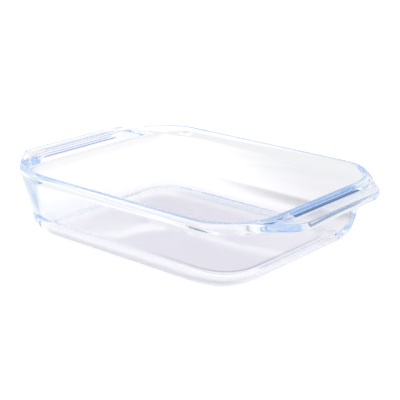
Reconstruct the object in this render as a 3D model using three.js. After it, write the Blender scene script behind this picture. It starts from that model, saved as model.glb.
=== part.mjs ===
// Rectangular roasting dish of clear pressed glass, with a lug handle along each short end.
// Millimetres, +Z up. The origin is the middle of the underside, the handles lie at +X and -X,
// and the long walls face +Y and -Y. The dish is one pressing: each node here is one of its regions,
// and the regions meet face to face on flat seams.
import * as THREE from 'three';

// Overall sizes
const overallLength = 344; // over the outer edges of both handles
const overallWidth = 230; // over the outer edges of both long rims
const overallHeight = 65; // from the table to the top of the rim

// Glass thickness
const floorThickness = 5;
const wallThickness = 5.6; // measured level, across a wall

// Walls: how far they lean out from upright, in degrees, and the bends at their foot
const sideDraft = 6;
const endDraft = 15.5;
const floorFillet = 20; // inside, between floor and wall
const footFillet = 17; // outside, under the wall
const floorSeamInset = 4; // the floor's seam lies this far inside both bends

// Corners: the rounded turn from a long wall to a short one. A squareness of 2 is an ellipse, and a
// higher one is tighter.
const cornerLength = 63.25; // of the mouth, along X
const cornerWidth = 57.75; // of the mouth, along Y
const insideSquareness = 3; // inside, from the floor to the mouth
const footSquareness = 3; // outside, at the foot
const shoulderSquareness = 3.2; // outside, under the rim

// Rim and handles: depths are below the rim's top, and widths are level from the edge of the mouth
const rimHeight = 10.5; // depth of the seam between the rim and the walls
const sideRimDepth = 4.5; // depth of the outer edge, along the long sides
const handleDepth = 9.5; // and along the handles
const sideRimWidth = 9.25;
const handleReach = 33.25;
const sideMouthLean = 3.5; // how far the inner face of the rim leans out, at the long sides
const endMouthLean = 4.2; // and at the handles
const mouthRadius = 3.4; // rounding of the inner edge
const edgeRadius = 3; // rounding of the outer edge
const roundShare = 0.45; // most of the rim's width that one rounding may take

// Steps across a handle: a raised ridge, a slope down to a valley, and a level grip below the ridge
const ridgeWidth = 10.25;
const ridgeSlope = 8; // level run of the slope
const valleyDepth = 3.2;
const valleyWidth = 2; // level run from the valley up to the grip
const gripDrop = 2.2; // of the grip below the ridge
const plainShares = { ridge: 0.25, valley: 0.5, grip: 0.75 }; // where these steps end up on the plain rim
const reliefTurn = 3; // degrees of a corner's turn in which the ridge and valley end
const dropShare = 0.6; // share of a shoulder over which the outer edge climbs back to the ridge's level

// Shoulders: where the rim widens round a corner into a handle
const shoulderRun = 72; // from the handle's outer edge back to where the long rim starts to turn
const shoulderStart = 22; // tangent that leaves the long rim
const shoulderInset = 38; // second control point, in from the handle's outer edge
const shoulderRise = 49.5; // and past the end of the straight handle
const gripRoundInset = 5.5; // start of the rounding into the grip, in from the handle's outer edge
const gripRoundRise = 17; // and past the end of the straight handle
const gripRoundBend = 11.5; // where that rounding meets the line of the grip, past the same end

// Facets
const bendSteps = 5;
const edgeSteps = 4;
const cornerSteps = 10;

// Worked out from the sizes above
const halfLength = overallLength / 2;
const halfWidth = overallWidth / 2;
const rimBase = overallHeight - rimHeight; // level seam between the walls and the rim
const mouthHalfLength = halfLength - handleReach;
const mouthHalfWidth = halfWidth - sideRimWidth;
const cornerX = mouthHalfLength - cornerLength; // upright axis of a corner
const cornerY = mouthHalfWidth - cornerWidth;
const quarterTurn = Math.PI / 2;

const pressedGlass = new THREE.MeshStandardMaterial({
  color: 0xd8e6f2,
  roughness: 0.05,
  metalness: 0,
  transparent: true,
  opacity: 0.45,
});

// A bend between a level face and a wall that leans out, as points of distance against height.
// It starts on the level face and ends on the wall; edge is where the two faces would cross.
function bendPoints(edge, level, radius, draft) {
  const tangent = radius * Math.tan((quarterTurn - draft) / 2);
  const centre = new THREE.Vector2(edge - tangent, level + radius);
  const arc = new THREE.EllipseCurve(centre.x, centre.y, radius, radius, -quarterTurn, -draft);
  return arc.getPoints(bendSteps);
}

// The section of a wall, from the floor's seam up the inside, over the top and down the outside.
function wallSection(mouthHalf, draftDegrees) {
  const draft = THREE.MathUtils.degToRad(draftDegrees);
  const insideAt = (height) => mouthHalf - (rimBase - height) * Math.tan(draft);
  const inside = bendPoints(insideAt(floorThickness), floorThickness, floorFillet, draft);
  const outside = bendPoints(insideAt(0) + wallThickness, 0, footFillet, draft);
  const seam = Math.min(inside[0].x, outside[0].x) - floorSeamInset;
  return [
    new THREE.Vector2(seam, floorThickness),
    ...inside,
    new THREE.Vector2(mouthHalf, rimBase),
    new THREE.Vector2(mouthHalf + wallThickness, rimBase),
    ...outside.reverse(),
    new THREE.Vector2(seam, 0),
  ];
}

// The section of the rim, as distance out from the mouth against height, up from the inside of its
// seat on the wall and round to the outside of that seat. A relief of 0 gives the plain rounded rim of
// the long sides, and 1 gives the ridge, slope, valley and grip of a handle. Drop is how far the outer
// edge's top lies below the ridge.
function rimSection(width, depth, lean, relief, drop) {
  const { lerp } = THREE.MathUtils;
  const roundLimit = roundShare * (width - lean);
  const innerRadius = Math.min(mouthRadius, roundLimit);
  const outerRadius = Math.min(edgeRadius, roundLimit);
  const levelStart = lean + innerRadius;
  const levelEnd = width - outerRadius;
  const step = (share, distance) => lerp(lerp(levelStart, levelEnd, share), distance, relief);
  const ridgeEnd = step(plainShares.ridge, ridgeWidth);
  const valley = step(plainShares.valley, ridgeWidth + ridgeSlope);
  const gripStart = step(plainShares.grip, ridgeWidth + ridgeSlope + valleyWidth);
  const gripTop = overallHeight - drop;
  const valleyBottom = overallHeight - lerp(drop / 2, valleyDepth, relief);
  const gripHalf = (gripTop - overallHeight + depth) / 2;
  const innerEdge = new THREE.EllipseCurve(
    levelStart, overallHeight - innerRadius, innerRadius, innerRadius, 2 * quarterTurn, quarterTurn, true,
  );
  const outerEdge = new THREE.EllipseCurve(
    levelEnd, gripTop - gripHalf, outerRadius, gripHalf, quarterTurn, -quarterTurn, true,
  );
  return [
    new THREE.Vector2(0, rimBase),
    ...innerEdge.getPoints(edgeSteps),
    new THREE.Vector2(ridgeEnd, overallHeight),
    new THREE.Vector2(valley, valleyBottom),
    new THREE.Vector2(gripStart, gripTop),
    ...outerEdge.getPoints(2 * edgeSteps),
    new THREE.Vector2(wallThickness, rimBase),
  ];
}

// A closed solid through a row of matching rings, capped by the sections of its two ends.
function loft(rings, startSection, endSection) {
  const size = rings[0].length;
  const triangles = [];
  for (let step = 0; step + 1 < rings.length; step += 1) {
    for (let point = 0; point < size; point += 1) {
      const next = (point + 1) % size;
      const [a, b] = [step * size + point, step * size + next];
      triangles.push([a, b, b + size], [a, b + size, a + size]);
    }
  }
  const lastRing = (rings.length - 1) * size;
  const startCap = THREE.ShapeUtils.triangulateShape(startSection, []);
  const endCap = THREE.ShapeUtils.triangulateShape(endSection, []);
  const clockwise = THREE.ShapeUtils.isClockWise(startSection);
  for (const [a, b, c] of startCap) triangles.push(clockwise ? [a, b, c] : [c, b, a]);
  for (const [a, b, c] of endCap) {
    const cap = [a + lastRing, b + lastRing, c + lastRing];
    triangles.push(clockwise ? cap.reverse() : cap);
  }
  const geometry = new THREE.BufferGeometry().setFromPoints(rings.flat());
  geometry.setIndex(triangles.flat());
  return faceOutward(geometry);
}

// Turns the triangles round where a solid has come out inside out, as a mirrored one does.
function faceOutward(geometry) {
  const positions = geometry.getAttribute('position');
  const order = geometry.getIndex();
  const corner = (place) => new THREE.Vector3().fromBufferAttribute(positions, order.getX(place));
  let volume = 0;
  for (let place = 0; place < order.count; place += 3) {
    volume += corner(place).dot(corner(place + 1).cross(corner(place + 2)));
  }
  if (volume < 0) order.array.reverse();
  geometry.computeVertexNormals();
  return geometry;
}

const dish = new THREE.Group();

function addRegion(name, geometry) {
  const mesh = new THREE.Mesh(geometry, pressedGlass);
  mesh.name = name;
  dish.add(mesh);
}

const sideWall = wallSection(mouthHalfWidth, sideDraft);
const endWall = wallSection(mouthHalfLength, endDraft);
const insidePoints = bendSteps + 2; // place of the inside's top point in a wall section
const reliefAngle = THREE.MathUtils.degToRad(reliefTurn);
const cornerAngles = [0, reliefAngle];
for (let step = 1; step <= cornerSteps; step += 1) cornerAngles.push((quarterTurn * step) / cornerSteps);

// A place on a rounded corner, seen from above: a quarter of a squared ellipse round the corner's
// axis, from the end wall's distance at angle 0 to the long wall's distance at a quarter turn.
function cornerPlace(endDistance, sideDistance, angle, squareness) {
  const power = 2 / squareness;
  return new THREE.Vector2(
    cornerX + (endDistance - cornerX) * Math.cos(angle) ** power,
    cornerY + (sideDistance - cornerY) * Math.sin(angle) ** power,
  );
}

// A point of a corner wall. The inside and the floor's seam keep one squareness, and the outside grows
// squarer up to the rim.
function cornerPoint(point, angle, end, side) {
  const outside = point > insidePoints && point < endWall.length - 1;
  const outsideSquareness = THREE.MathUtils.lerp(
    footSquareness, shoulderSquareness, endWall[point].y / rimBase,
  );
  const squareness = outside ? outsideSquareness : insideSquareness;
  const place = cornerPlace(endWall[point].x, sideWall[point].x, angle, squareness);
  const height = THREE.MathUtils.lerp(endWall[point].y, sideWall[point].y, Math.sin(angle) ** 2);
  return new THREE.Vector3(end * place.x, side * place.y, height);
}

// Floor: a flat plate whose outline follows the seam at the foot of the walls
const quarterOutline = cornerAngles.map((angle) => cornerPoint(0, angle, 1, 1));
const mirrored = (end, side) => quarterOutline.map((p) => new THREE.Vector2(end * p.x, side * p.y));
const floorOutline = new THREE.Shape([
  ...mirrored(1, 1),
  ...mirrored(-1, 1).reverse(),
  ...mirrored(-1, -1),
  ...mirrored(1, -1).reverse(),
]);
const floorPlate = { depth: floorThickness, bevelEnabled: false };
addRegion('floor_panel', new THREE.ExtrudeGeometry(floorOutline, floorPlate));

// Straight walls and the straight rims above them
const rim = rimSection(sideRimWidth, sideRimDepth, sideMouthLean, 0, 0);
for (const [sideName, side] of [['front', -1], ['back', 1]]) {
  const along = (section, offset) => [-cornerX, cornerX].map(
    (x) => section.map((p) => new THREE.Vector3(x, side * (p.x + offset), p.y)),
  );
  addRegion(`${sideName}_wall`, loft(along(sideWall, 0), sideWall, sideWall));
  addRegion(`${sideName}_rim`, loft(along(rim, mouthHalfWidth), rim, rim));
}

// End walls and the handles above them
const handle = rimSection(handleReach, handleDepth, endMouthLean, 1, gripDrop);
for (const [endName, end] of [['left', -1], ['right', 1]]) {
  const across = (section, offset) => [-cornerY, cornerY].map(
    (y) => section.map((p) => new THREE.Vector3(end * (p.x + offset), y, p.y)),
  );
  addRegion(`${endName}_end_wall`, loft(across(endWall, 0), endWall, endWall));
  addRegion(`${endName}_handle`, loft(across(handle, mouthHalfLength), handle, handle));
}

// Outer edge of a shoulder, seen from above, from the long rim to the handle
const outerEdge = new THREE.Path()
  .moveTo(cornerX, halfWidth)
  .lineTo(halfLength - shoulderRun, halfWidth)
  .bezierCurveTo(
    halfLength - shoulderRun + shoulderStart, halfWidth,
    halfLength - shoulderInset, cornerY + shoulderRise,
    halfLength - gripRoundInset, cornerY + gripRoundRise,
  )
  .quadraticCurveTo(halfLength, cornerY + gripRoundBend, halfLength, cornerY);

// The rim's section at one angle round a corner, stretched between the mouth and the outer edge. Its
// last point is the outside of the seat, which is the outside of the wall's top.
function shoulderRing(angle, end, side) {
  const { lerp, smoothstep } = THREE.MathUtils;
  const share = 1 - angle / quarterTurn;
  const inner = cornerPlace(mouthHalfLength, mouthHalfWidth, angle, insideSquareness);
  const outer = outerEdge.getPoint(share);
  const width = inner.distanceTo(outer);
  const depth = lerp(sideRimDepth, handleDepth, share);
  const lean = lerp(sideMouthLean, endMouthLean, share);
  const relief = 1 - smoothstep(angle, 0, reliefAngle);
  const drop = gripDrop * smoothstep(share, 1 - dropShare, 1);
  const section = rimSection(width, depth, lean, relief, drop);
  const over = section.slice(0, -1).map((p) => {
    const place = inner.clone().lerp(outer, p.x / width);
    return new THREE.Vector3(end * place.x, side * place.y, p.y);
  });
  return [...over, cornerPoint(insidePoints + 1, angle, end, side)];
}

// Corner walls and the shoulders above them
for (const [sideName, side] of [['front', -1], ['back', 1]]) {
  for (const [endName, end] of [['left', -1], ['right', 1]]) {
    const wallRings = cornerAngles.map(
      (angle) => endWall.map((_, point) => cornerPoint(point, angle, end, side)),
    );
    addRegion(`${sideName}_${endName}_corner`, loft(wallRings, endWall, sideWall));
    const shoulderRings = cornerAngles.map((angle) => shoulderRing(angle, end, side));
    addRegion(`${sideName}_${endName}_shoulder`, loft(shoulderRings, handle, rim));
  }
}

export default dish;
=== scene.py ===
import math

import bmesh
import bpy
import numpy as np
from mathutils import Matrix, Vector


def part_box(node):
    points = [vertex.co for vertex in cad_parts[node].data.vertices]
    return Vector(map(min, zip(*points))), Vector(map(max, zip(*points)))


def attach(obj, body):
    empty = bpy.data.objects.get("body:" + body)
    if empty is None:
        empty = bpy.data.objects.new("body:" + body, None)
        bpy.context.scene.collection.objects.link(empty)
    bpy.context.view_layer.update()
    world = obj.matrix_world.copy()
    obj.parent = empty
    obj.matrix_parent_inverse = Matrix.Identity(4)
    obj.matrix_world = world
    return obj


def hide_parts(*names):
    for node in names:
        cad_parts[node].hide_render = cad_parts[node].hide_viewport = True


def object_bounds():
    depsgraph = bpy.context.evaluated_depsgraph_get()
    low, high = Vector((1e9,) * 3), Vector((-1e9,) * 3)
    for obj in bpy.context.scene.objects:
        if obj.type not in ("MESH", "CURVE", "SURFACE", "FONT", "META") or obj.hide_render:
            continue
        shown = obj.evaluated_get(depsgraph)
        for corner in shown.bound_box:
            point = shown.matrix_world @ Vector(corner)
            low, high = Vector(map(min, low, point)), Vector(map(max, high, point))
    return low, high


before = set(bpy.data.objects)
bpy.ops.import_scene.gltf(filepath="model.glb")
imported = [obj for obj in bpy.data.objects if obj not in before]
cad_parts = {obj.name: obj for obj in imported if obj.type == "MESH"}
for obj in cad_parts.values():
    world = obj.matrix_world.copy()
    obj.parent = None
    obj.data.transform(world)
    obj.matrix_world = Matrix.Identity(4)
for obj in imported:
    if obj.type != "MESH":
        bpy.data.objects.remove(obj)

cad_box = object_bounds()

# The bowl: a flat floor that turns up into four leaning walls, pressed from one gob of clear glass.
# The plunger shapes the wide bends inside and the mould the tighter ones outside, and the walls are
# even in thickness.
MM = 0.001
half_length, half_width, rim_top = cad_box[1]
rim_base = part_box("front_wall")[1].z
mouth_y = -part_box("front_rim")[1].y
corner_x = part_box("front_rim")[1].x
mouth_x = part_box("right_handle")[0].x
corner_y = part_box("right_handle")[1].y
floor_seam_x, floor_seam_y, floor_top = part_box("floor_panel")[1]

wall_thickness = 5.6 * MM
side_lean = math.radians(6)
end_lean = math.radians(15.5)
floor_bend = 20 * MM
foot_bend = 17 * MM
bend_steps = 14
wall_steps = 6
inside_squareness = 3
foot_squareness = 3
shoulder_squareness = 3.2


def mix(a, b, share):
    """The value at a share of the way from a to b."""
    return a + (b - a) * share


def bend(edge, level, radius, lean):
    """Points of the bend from a level face up into a leaning wall; the two would cross at edge."""
    centre = edge - radius * math.tan((math.pi / 2 - lean) / 2)
    turn = np.linspace(-math.pi / 2, -lean, bend_steps + 1)
    return np.column_stack([centre + radius * np.cos(turn), level + radius * (1 + np.sin(turn))])


def straight(start, end):
    """Points along a wall from start to end, without start itself."""
    share = np.linspace(0, 1, wall_steps + 1)[1:, None]
    return mix(np.asarray(start), np.asarray(end), share)


def wall_sides(mouth, lean, seam):
    """Distance out and height of a wall's inside, going up, and of its outside, going down."""
    inner_foot = mouth - (rim_base - floor_top) * math.tan(lean)
    outer_foot = mouth + wall_thickness - rim_base * math.tan(lean)
    inside = bend(inner_foot, floor_top, floor_bend, lean)
    outside = bend(outer_foot, 0, foot_bend, lean)[::-1]
    top_inside, top_outside = (mouth, rim_base), (mouth + wall_thickness, rim_base)
    return (
        np.vstack([(seam, floor_top), inside, straight(inside[-1], top_inside)]),
        np.vstack([top_outside, straight(top_outside, outside[0]), outside[1:], (seam, 0)]),
    )


side_inside, side_outside = wall_sides(mouth_y, side_lean, floor_seam_y)
end_inside, end_outside = wall_sides(mouth_x, end_lean, floor_seam_x)


def corner_place(end_distance, side_distance, turn, squareness):
    """Places on a corner seen from above, from the end wall at turn 0 to the long wall at a quarter."""
    power = 2 / squareness
    return np.column_stack([
        mix(corner_x, end_distance, math.cos(turn) ** power),
        mix(corner_y, side_distance, math.sin(turn) ** power),
    ])


def corner_wall(end_points, side_points, turn, squareness):
    """One wall side's points at one turn round a corner."""
    height = mix(end_points[:, 1], side_points[:, 1], math.sin(turn) ** 2)
    return np.column_stack([corner_place(end_points[:, 0], side_points[:, 0], turn, squareness), height])


# The rim and the lug handles: the lip of the same pressing. It is a rounded bead along the long sides
# and widens round each shoulder into a handle, which has a ridge at the mouth, a slope down to a
# shallow valley, and a level grip with a rounded edge.
side_rim_depth = 4.5 * MM
handle_depth = 9.5 * MM
side_mouth_lean = 3.5 * MM
end_mouth_lean = 4.2 * MM
mouth_ease = 4 * MM
mouth_round = 4 * MM
edge_round = 1.0 * MM
under_round = 2 * MM
neck_round = 2 * MM
ridge_width = 10.25 * MM
ridge_slope = 8 * MM
valley_depth = 3.2 * MM
valley_width = 2 * MM
grip_drop = 2.2 * MM
crest_round = 1.6 * MM
valley_round = 0.9 * MM
plain_shares = np.array([0.5, 0.505, 0.51])
relief_run = 4.5 * MM
drop_share = 0.6

shoulder_run = 72 * MM
shoulder_start = 22 * MM
shoulder_inset = 38 * MM
shoulder_rise = 49.5 * MM
grip_round_inset = 5.5 * MM
grip_round_rise = 17 * MM
grip_round_bend = 11.5 * MM
curve_points = 60


def smooth(low, high, value):
    """0 up to low, 1 from high, and an even ease between."""
    share = min(max((value - low) / (high - low), 0), 1)
    return share * share * (3 - 2 * share)


def rim_corners(mouth, edge, share, relief):
    """Corners of the rim's section from mouth to edge, each a place and the length of its rounding.

    The share is 0 on the handle and 1 on the long rim. A relief of 1 gives the handle its ridge, valley
    and grip, and with a relief of 0 these lie at plain shares of the rim's width.
    """
    width = np.linalg.norm(edge - mouth)
    lean = mix(end_mouth_lean, side_mouth_lean, share)
    depth = mix(handle_depth, side_rim_depth, share)
    drop = grip_drop * (1 - smooth(0, drop_share, share))
    stepped = np.cumsum([ridge_width, ridge_slope, valley_width])
    ridge, valley, grip = mix(mix(lean, width, plain_shares), stepped, relief)
    section = [
        (lean, rim_top, mouth_round),
        (ridge, rim_top, crest_round * relief),
        (valley, rim_top - mix(drop / 2, valley_depth, relief), valley_round * relief),
        (grip, rim_top - drop, valley_round * relief),
        (width, rim_top - drop, edge_round),
        (width, rim_top - depth, under_round),
    ]
    return [(np.append(mix(mouth, edge, out / width), height), cut) for out, height, cut in section]


def bezier(*points):
    """Closely spaced points of the Bezier curve with these control points."""
    share = np.linspace(0, 1, curve_points)[:, None]
    curve = [np.array(point) for point in points]
    while len(curve) > 1:
        curve = [mix(a, b, share) for a, b in zip(curve, curve[1:])]
    return curve[0]


grip_round = (half_length - grip_round_inset, corner_y + grip_round_rise)
outline = np.vstack([
    bezier((half_length, corner_y), (half_length, corner_y + grip_round_bend), grip_round),
    bezier(
        grip_round,
        (half_length - shoulder_inset, corner_y + shoulder_rise),
        (half_length - shoulder_run + shoulder_start, half_width),
        (half_length - shoulder_run, half_width),
    )[1:],
    (corner_x, half_width),
])
outline_run = np.concatenate([[0], np.cumsum(np.linalg.norm(np.diff(outline, axis=0), axis=1))])


def outline_place(share):
    """Place on a shoulder's outer edge, from the handle at share 0 to the long rim at share 1."""
    run = share * outline_run[-1]
    return np.array([np.interp(run, outline_run, outline[:, axis]) for axis in (0, 1)])


# The whole pressing: the section above, carried once round the dish. Only a quarter is worked out, and
# the other three are its mirror images. The mesh is one closed skin, because the dish is one piece of
# borosilicate glass, pressed hot and cooled without any joint.
handle_steps = 12
relief_steps = 8
corner_steps = 40
side_steps = 20
round_steps = 6
flat_face_weight = 80
glass_ior = 1.5
glass_tint, tint_per_metre = "#7cc4f7", 1.4
light_passed = "#e4e0ea"


def softened(corners):
    """Points along a line of corners. Each corner is a place and the length of its rounding, or None."""
    places = np.array([place for place, _ in corners])
    cuts = np.array([cut or 0 for _, cut in corners])
    gaps = np.linalg.norm(np.diff(places, axis=0), axis=1)
    fit = gaps / np.maximum(cuts[:-1] + cuts[1:], gaps)
    share = np.linspace(0, 1, round_steps + 1)[:, None]
    points = []
    for i, (place, cut) in enumerate(corners):
        if cut is None:
            points.append(place)
            continue
        kept = cut * min(fit[i - 1], fit[i])
        start = mix(place, places[i - 1], kept / gaps[i - 1])
        end = mix(place, places[i + 1], kept / gaps[i])
        points.extend(mix(mix(start, place, share), mix(place, end, share), share))
    return np.array(points)


def ring(inside, outside, mouth, edge, share, relief):
    """The loop of points up the inside of a wall, over the rim and down the outside."""
    corners = [(place, None) for place in inside[:-1]]
    corners.append((inside[-1], mouth_ease))
    corners += rim_corners(mouth, edge, share, relief)
    corners.append((outside[0], neck_round))
    corners += [(place, None) for place in outside[1:]]
    return softened(corners)


def ring_at_end(y):
    """The ring at one place along a handle and the end wall under it."""
    inside, outside = np.insert(end_inside, 1, y, axis=1), np.insert(end_outside, 1, y, axis=1)
    mouth, edge = np.array([mouth_x, y]), np.array([half_length, y])
    return ring(inside, outside, mouth, edge, share=0, relief=1)


def ring_at_side(x):
    """The ring at one place along a long wall and its rim."""
    inside, outside = np.insert(side_inside, 0, x, axis=1), np.insert(side_outside, 0, x, axis=1)
    mouth, edge = np.array([x, mouth_y]), np.array([x, half_width])
    return ring(inside, outside, mouth, edge, share=1, relief=0)


def ring_at_corner(share):
    """The ring at a share of the way round a corner, from the handle to the long rim."""
    turn = math.pi / 2 * share
    mouth = corner_place(mouth_x, mouth_y, turn, inside_squareness)[0]
    edge = outline_place(share)
    relief = 1 - smooth(corner_y, corner_y + relief_run, edge[1])
    inside = corner_wall(end_inside, side_inside, turn, inside_squareness)
    squareness = mix(foot_squareness, shoulder_squareness, end_outside[:, 1] / rim_base)
    # The outside ends under the edge of the flat floor, so its last point turns as the inside does.
    squareness[-1] = inside_squareness
    outside = corner_wall(end_outside, side_outside, turn, squareness)
    return ring(inside, outside, mouth, edge, share, relief)


relief_share = relief_run / outline_run[-1]
quarter = np.array(
    [ring_at_end(y) for y in np.linspace(0, corner_y, handle_steps, endpoint=False)]
    + [ring_at_corner(share) for share in np.linspace(0, relief_share, relief_steps, endpoint=False)]
    + [ring_at_corner(share) for share in np.linspace(relief_share, 1, corner_steps, endpoint=False)]
    + [ring_at_side(x) for x in np.linspace(corner_x, 0, side_steps)]
)
rings = np.vstack([
    quarter,
    (quarter * (-1, 1, 1))[-2::-1],
    (quarter * (-1, -1, 1))[1:],
    (quarter * (1, -1, 1))[-2:0:-1],
])
ring_count, ring_size = rings.shape[:2]

mesh = bpy.data.meshes.new("roasting_dish")
faces = []
for step in range(ring_count):
    here, there = step * ring_size, (step + 1) % ring_count * ring_size
    faces += [(here + i, there + i, there + i + 1, here + i + 1) for i in range(ring_size - 1)]
floor_face = [step * ring_size for step in range(ring_count)]
underside_face = [step * ring_size + ring_size - 1 for step in range(ring_count)]
faces += [floor_face, underside_face]
mesh.from_pydata(rings.reshape(-1, 3).tolist(), [], faces)
skin = bmesh.new()
skin.from_mesh(mesh)
bmesh.ops.recalc_face_normals(skin, faces=skin.faces)
skin.to_mesh(mesh)
skin.free()
mesh.polygons.foreach_set("use_smooth", [True] * len(mesh.polygons))
dish = bpy.data.objects.new("roasting_dish", mesh)
bpy.context.scene.collection.objects.link(dish)
dish.modifiers.new("even_normals", "WEIGHTED_NORMAL").weight = flat_face_weight


def linear(hex_colour):
    """An sRGB hex colour as linear RGBA."""
    parts = [int(hex_colour[i:i + 2], 16) / 255 for i in (1, 3, 5)]
    return [c / 12.92 if c <= 0.04045 else ((c + 0.055) / 1.055) ** 2.4 for c in parts] + [1]


def add_node(tree, kind, settings=None, links=None):
    """Adds a node, sets its properties and sockets, and links its inputs to the given outputs."""
    node = tree.nodes.new(kind)
    for name, value in (settings or {}).items():
        if isinstance(name, int) or name in node.inputs:
            node.inputs[name].default_value = value
        else:
            setattr(node, name, value)
    for name, output in (links or {}).items():
        tree.links.new(output, node.inputs[name])
    return node


# Pressed clear glass: fire-polished, so it has no grain, and the eye sees only what it bends and mirrors.
# Looked at through its edges, along decimetres of glass, it is blue. Light goes through it to the table
# with a little loss, most of it where it meets the glass at a slant.
glass = bpy.data.materials.new("pressed_clear_glass")
glass.use_nodes = True
tree = glass.node_tree
tree.nodes.clear()
path = add_node(tree, "ShaderNodeLightPath")
body = add_node(tree, "ShaderNodeBsdfPrincipled", {
    "Base Color": linear("#ffffff"),
    "Roughness": 0.0,
    "IOR": glass_ior,
    "Transmission Weight": 1.0,
})
clear = add_node(tree, "ShaderNodeBsdfTransparent", {"Color": linear(light_passed)})
lighting = add_node(tree, "ShaderNodeMath", {"operation": "MAXIMUM"}, {
    0: path.outputs["Is Shadow Ray"],
    1: path.outputs["Is Diffuse Ray"],
})
graze = add_node(tree, "ShaderNodeFresnel", {"IOR": glass_ior})
passed = add_node(tree, "ShaderNodeMath", {"operation": "SUBTRACT", 0: 1.0}, {1: graze.outputs[0]})
through = add_node(tree, "ShaderNodeMath", {"operation": "MULTIPLY"}, {
    0: lighting.outputs[0],
    1: passed.outputs[0],
})
lit = add_node(tree, "ShaderNodeMixShader", links={
    0: through.outputs[0],
    1: body.outputs[0],
    2: clear.outputs[0],
})
tint = add_node(tree, "ShaderNodeVolumeAbsorption", {
    "Color": linear(glass_tint),
    "Density": tint_per_metre,
})
add_node(tree, "ShaderNodeOutputMaterial", links={"Surface": lit.outputs[0], "Volume": tint.outputs[0]})
mesh.materials.append(glass)

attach(dish, "root")
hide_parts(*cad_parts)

# The table: a sweep of white paper that the dish stands on and casts its shadow on. Seen through the
# glass, painted shade darkens its glow towards the back and left, thin painted dark lines lie where a
# bend throws the light aside, a soft painted shadow streak lies beyond the back foot, and a soft painted
# band of glowing blue light lies at the left.
table_reach = 30
table_gap = 0.3 * MM
paper_tone = "#eeeef2"
table_glow, open_glow = 0.63, 0.07
# Strengths, stretches and sizes of the painted shade, the painted dark lines and the painted shadow
# streak.
painted_shade_loss, painted_floor_line_loss, painted_foot_line_loss, painted_shadow_streak_loss = 0.26, 0.42, 0.24, 0.32
painted_back_shade_stretch = dict(turn=math.radians(60), start=75 * MM, end=195 * MM)
painted_left_shade_stretch = dict(turn=math.radians(180), start=225 * MM, end=295 * MM)
painted_floor_line_stretch = dict(turn=math.radians(-30), start=25 * MM, end=95 * MM)
painted_foot_line_stretch = dict(turn=math.radians(-90), start=55 * MM, end=85 * MM)
painted_shadow_streak_stretch = dict(turn=math.radians(75), start=97 * MM, end=130 * MM)
line_corner, line_spread, painted_floor_line_inset = 30 * MM, 6 * MM, 4.5 * MM
painted_shadow_streak_reach, painted_shadow_streak_spread = 41 * MM, 22 * MM
# Tone, direction and place of the painted band of blue light on the paper.
painted_light_band_tone, painted_light_band_turn = "#c3d6ea", math.radians(231.2)
painted_light_band_middle, painted_light_band_spread = 203 * MM, 52 * MM
table_mesh = bpy.data.meshes.new("table")
table_corners = [(-table_reach, -table_reach), (table_reach, -table_reach)]
table_corners += [(table_reach, table_reach), (-table_reach, table_reach)]
table_mesh.from_pydata([(x, y, -table_gap) for x, y in table_corners], [], [(0, 1, 2, 3)])
table = bpy.data.objects.new("table", table_mesh)
bpy.context.scene.collection.objects.link(table)


def seen_rays(tree, path):
    """An output that is 1 for rays that the eye follows, from the camera or by way of the glass."""
    seen = path.outputs["Is Camera Ray"]
    for kind in ("Is Glossy Ray", "Is Transmission Ray"):
        links = {0: seen, 1: path.outputs[kind]}
        seen = add_node(tree, "ShaderNodeMath", {"operation": "MAXIMUM"}, links).outputs[0]
    return seen


# White card paper: matt and even, without a grain that shows at this distance. Its glow, as the glass
# shows it, carries painted shade and a painted band of blue light.
paper = bpy.data.materials.new("white_paper")
paper.use_nodes = True
tree = paper.node_tree
tree.nodes.clear()
path = add_node(tree, "ShaderNodeLightPath")
seen = seen_rays(tree, path)
place = add_node(tree, "ShaderNodeTexCoord").outputs["Object"]
through_glass = add_node(tree, "ShaderNodeMath", {"operation": "SUBTRACT"}, {
    0: seen,
    1: path.outputs["Is Camera Ray"],
})


def along(turn):
    """An output that is the distance from the table's middle in one direction."""
    direction = (math.cos(turn), math.sin(turn), 0)
    node = add_node(tree, "ShaderNodeVectorMath", {"operation": "DOT_PRODUCT", 1: direction}, {0: place})
    return node.outputs["Value"]


def cover(length, none, full):
    """An output that goes from 0 to 1 between two lengths, and that only the glass shows."""
    share = add_node(tree, "ShaderNodeMapRange", {
        "interpolation_type": "SMOOTHSTEP",
        "From Min": none,
        "From Max": full,
    }, {"Value": length})
    links = {0: through_glass.outputs[0], 1: share.outputs["Result"]}
    return add_node(tree, "ShaderNodeMath", {"operation": "MULTIPLY"}, links).outputs[0]


def near(length, middle, spread):
    """An output that is 1 at one length, fades to 0 at either side, and that only the glass shows."""
    aside = add_node(tree, "ShaderNodeMath", {"operation": "SUBTRACT", 1: middle}, {0: length})
    apart = add_node(tree, "ShaderNodeMath", {"operation": "ABSOLUTE"}, {0: aside.outputs[0]})
    return cover(apart.outputs[0], spread, 0)


def stretch(turn, start, end):
    """An output that rises from 0 to 1 across a stretch of the table in one direction from its middle."""
    return cover(along(turn), start, end)


def line_round(reach_x, reach_y, spread, turn, start, end):
    """An output that is 1 on a line round the dish, which follows a rectangle with rounded corners.

    The line rises to its full strength across a stretch of the table.
    """
    inner = (reach_x - line_corner, reach_y - line_corner, 0)
    folded = add_node(tree, "ShaderNodeVectorMath", {"operation": "ABSOLUTE"}, {0: place})
    links = {0: folded.outputs[0]}
    beyond = add_node(tree, "ShaderNodeVectorMath", {"operation": "SUBTRACT", 1: inner}, links)
    outer = add_node(tree, "ShaderNodeVectorMath", {"operation": "MAXIMUM"}, {0: beyond.outputs[0]})
    away = add_node(tree, "ShaderNodeVectorMath", {"operation": "LENGTH"}, {0: outer.outputs[0]})
    line = near(away.outputs["Value"], line_corner, spread)
    links = {0: stretch(turn, start, end), 1: line}
    return add_node(tree, "ShaderNodeMath", {"operation": "MULTIPLY"}, links).outputs[0]


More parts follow.
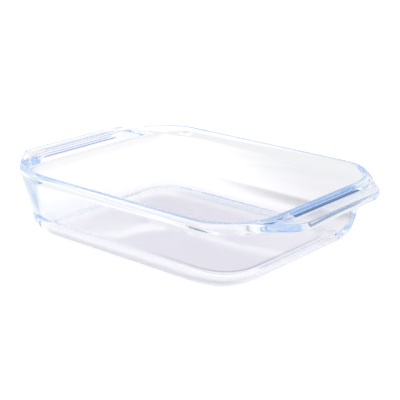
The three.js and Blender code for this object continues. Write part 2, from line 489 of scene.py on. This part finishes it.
matt = add_node(tree, "ShaderNodeBsdfDiffuse", {"Color": linear(paper_tone)})
level = add_node(tree, "ShaderNodeMath", {"operation": "MULTIPLY_ADD", 1: open_glow, 2: table_glow}, {
    0: path.outputs["Is Camera Ray"],
})
# The painted dark floor line lies just short of the floor's bend, and the painted dark foot line where
# the foot's bend starts.
floor_x, floor_y = end_inside[1, 0] - painted_floor_line_inset, side_inside[1, 0] - painted_floor_line_inset
foot_x, foot_y = end_outside[-2, 0], side_outside[-2, 0]
painted_far_shade = add_node(tree, "ShaderNodeMath", {"operation": "MAXIMUM"}, {
    0: stretch(**painted_back_shade_stretch),
    1: stretch(**painted_left_shade_stretch),
})
painted_floor_line = line_round(floor_x, floor_y, line_spread, **painted_floor_line_stretch)
painted_foot_line = line_round(foot_x, foot_y, line_spread, **painted_foot_line_stretch)
painted_shadow_streak = line_round(foot_x + painted_shadow_streak_reach, foot_y + painted_shadow_streak_reach, painted_shadow_streak_spread, **painted_shadow_streak_stretch)
# Painted shade: each mask lowers the paper's glow, only where the glass sees the paper.
for shade, loss in (
    (painted_far_shade.outputs[0], painted_shade_loss),
    (painted_floor_line, painted_floor_line_loss),
    (painted_foot_line, painted_foot_line_loss),
    (painted_shadow_streak, painted_shadow_streak_loss),
):
    links = {0: shade, 2: level.outputs[0]}
    level = add_node(tree, "ShaderNodeMath", {"operation": "MULTIPLY_ADD", 1: -loss}, links)
glow = add_node(tree, "ShaderNodeEmission", {"Color": linear("#ffffff")}, {"Strength": level.outputs[0]})
both = add_node(tree, "ShaderNodeAddShader", links={0: matt.outputs[0], 1: glow.outputs[0]})
shown = add_node(tree, "ShaderNodeMixShader", links={0: seen, 1: matt.outputs[0], 2: both.outputs[0]})
# A painted band of blue light: the paper glows blue there, only where the glass sees the paper.
painted_light_band = add_node(tree, "ShaderNodeEmission", {"Color": linear(painted_light_band_tone), "Strength": 1.0})
with_painted_light = add_node(tree, "ShaderNodeMixShader", links={
    0: near(along(painted_light_band_turn), painted_light_band_middle, painted_light_band_spread),
    1: shown.outputs[0],
    2: painted_light_band.outputs[0],
})
add_node(tree, "ShaderNodeOutputMaterial", links={"Surface": with_painted_light.outputs[0]})
table_mesh.materials.append(paper)

# The room: a white tent over the table, which lights the dish evenly. Behind the dish a stretch of wall
# out of the light looks lilac, a low screen looks blue-grey and a window looks blue. The glass mirrors
# the wall in its floor, and bends the screen and the window into its right handle.
shaded_wall = dict(tone="#9a94b2", bearing=131, rise=25, inner=4, outer=11.5)
low_screen = dict(tone="#7f97b0", bearing=125, rise=6, inner=4.5, outer=7.5)
window = dict(tone="#4878aa", bearing=98, rise=31, inner=11, outer=17)
tent_light = 0.6
world = bpy.data.worlds.new("studio")
bpy.context.scene.world = world
world.use_nodes = True
tree = world.node_tree
tree.nodes.clear()
path = add_node(tree, "ShaderNodeLightPath")
seen = seen_rays(tree, path)
direction = add_node(tree, "ShaderNodeTexCoord").outputs["Generated"]


def patch(under, tone, bearing, rise, inner, outer):
    """The colour under, with a round patch of another tone laid over it in the given direction.

    The angles are in degrees. The patch is full up to its inner angle and fades out at its outer one.
    """
    bearing, rise = math.radians(bearing), math.radians(rise)
    toward = add_node(tree, "ShaderNodeCombineXYZ", {
        "X": math.cos(rise) * math.cos(bearing),
        "Y": math.cos(rise) * math.sin(bearing),
        "Z": math.sin(rise),
    })
    closeness = add_node(tree, "ShaderNodeVectorMath", {"operation": "DOT_PRODUCT"}, {
        0: direction,
        1: toward.outputs[0],
    })
    share = add_node(tree, "ShaderNodeMapRange", {
        "interpolation_type": "SMOOTHSTEP",
        "From Min": math.cos(math.radians(outer)),
        "From Max": math.cos(math.radians(inner)),
    }, {"Value": closeness.outputs["Value"]})
    patched = add_node(tree, "ShaderNodeMixRGB", {"Color2": linear(tone)}, {
        "Fac": share.outputs["Result"],
        "Color1": under,
    })
    return patched.outputs[0]


cloth = add_node(tree, "ShaderNodeRGB")
cloth.outputs[0].default_value = linear("#ffffff")
walls = cloth.outputs[0]
for backdrop in (shaded_wall, low_screen, window):
    walls = patch(walls, **backdrop)
tent = add_node(tree, "ShaderNodeMixRGB", {"Color2": linear("#ffffff")}, {
    "Fac": path.outputs["Is Camera Ray"],
    "Color1": walls,
})
light = add_node(tree, "ShaderNodeBackground", {"Color": linear("#ffffff"), "Strength": tent_light})
white = add_node(tree, "ShaderNodeBackground", {"Strength": 1.0}, {"Color": tent.outputs[0]})
shown = add_node(tree, "ShaderNodeMixShader", links={0: seen, 1: light.outputs[0], 2: white.outputs[0]})
add_node(tree, "ShaderNodeOutputWorld", links={"Surface": shown.outputs[0]})

# The camera: the photograph's view, from the front right and a little above. It stands about a metre
# away with a lens of medium length, so the near handle looks larger than the far one.
azimuth, elevation = math.radians(40.9), math.radians(18.3)
aim = Vector((67.8, -66.6, 63)) * MM
distance = 907 * MM
sensor_width, focal_length = 36, 94.5
back = Vector((
    math.sin(azimuth) * math.cos(elevation),
    -math.cos(azimuth) * math.cos(elevation),
    math.sin(elevation),
))
lens = bpy.data.cameras.new("camera")
lens.sensor_width = sensor_width
lens.lens = focal_length
camera = bpy.data.objects.new("camera", lens)
camera.location = aim + back * distance
camera.rotation_mode = "QUATERNION"
camera.rotation_quaternion = (-back).to_track_quat("-Z", "Y")
bpy.context.scene.collection.objects.link(camera)
bpy.context.scene.camera = camera
bpy.context.scene.view_settings.view_transform = "Standard"

# Light inside the glass: it goes back and forth many times between the faces of the rim and the handles
# before it leaves, and a path that is cut short leaves a black spot.
light_bounces = 128
cycles = bpy.context.scene.cycles
cycles.max_bounces = light_bounces
cycles.transmission_bounces = light_bounces
cycles.glossy_bounces = light_bounces
cycles.transparent_max_bounces = light_bounces
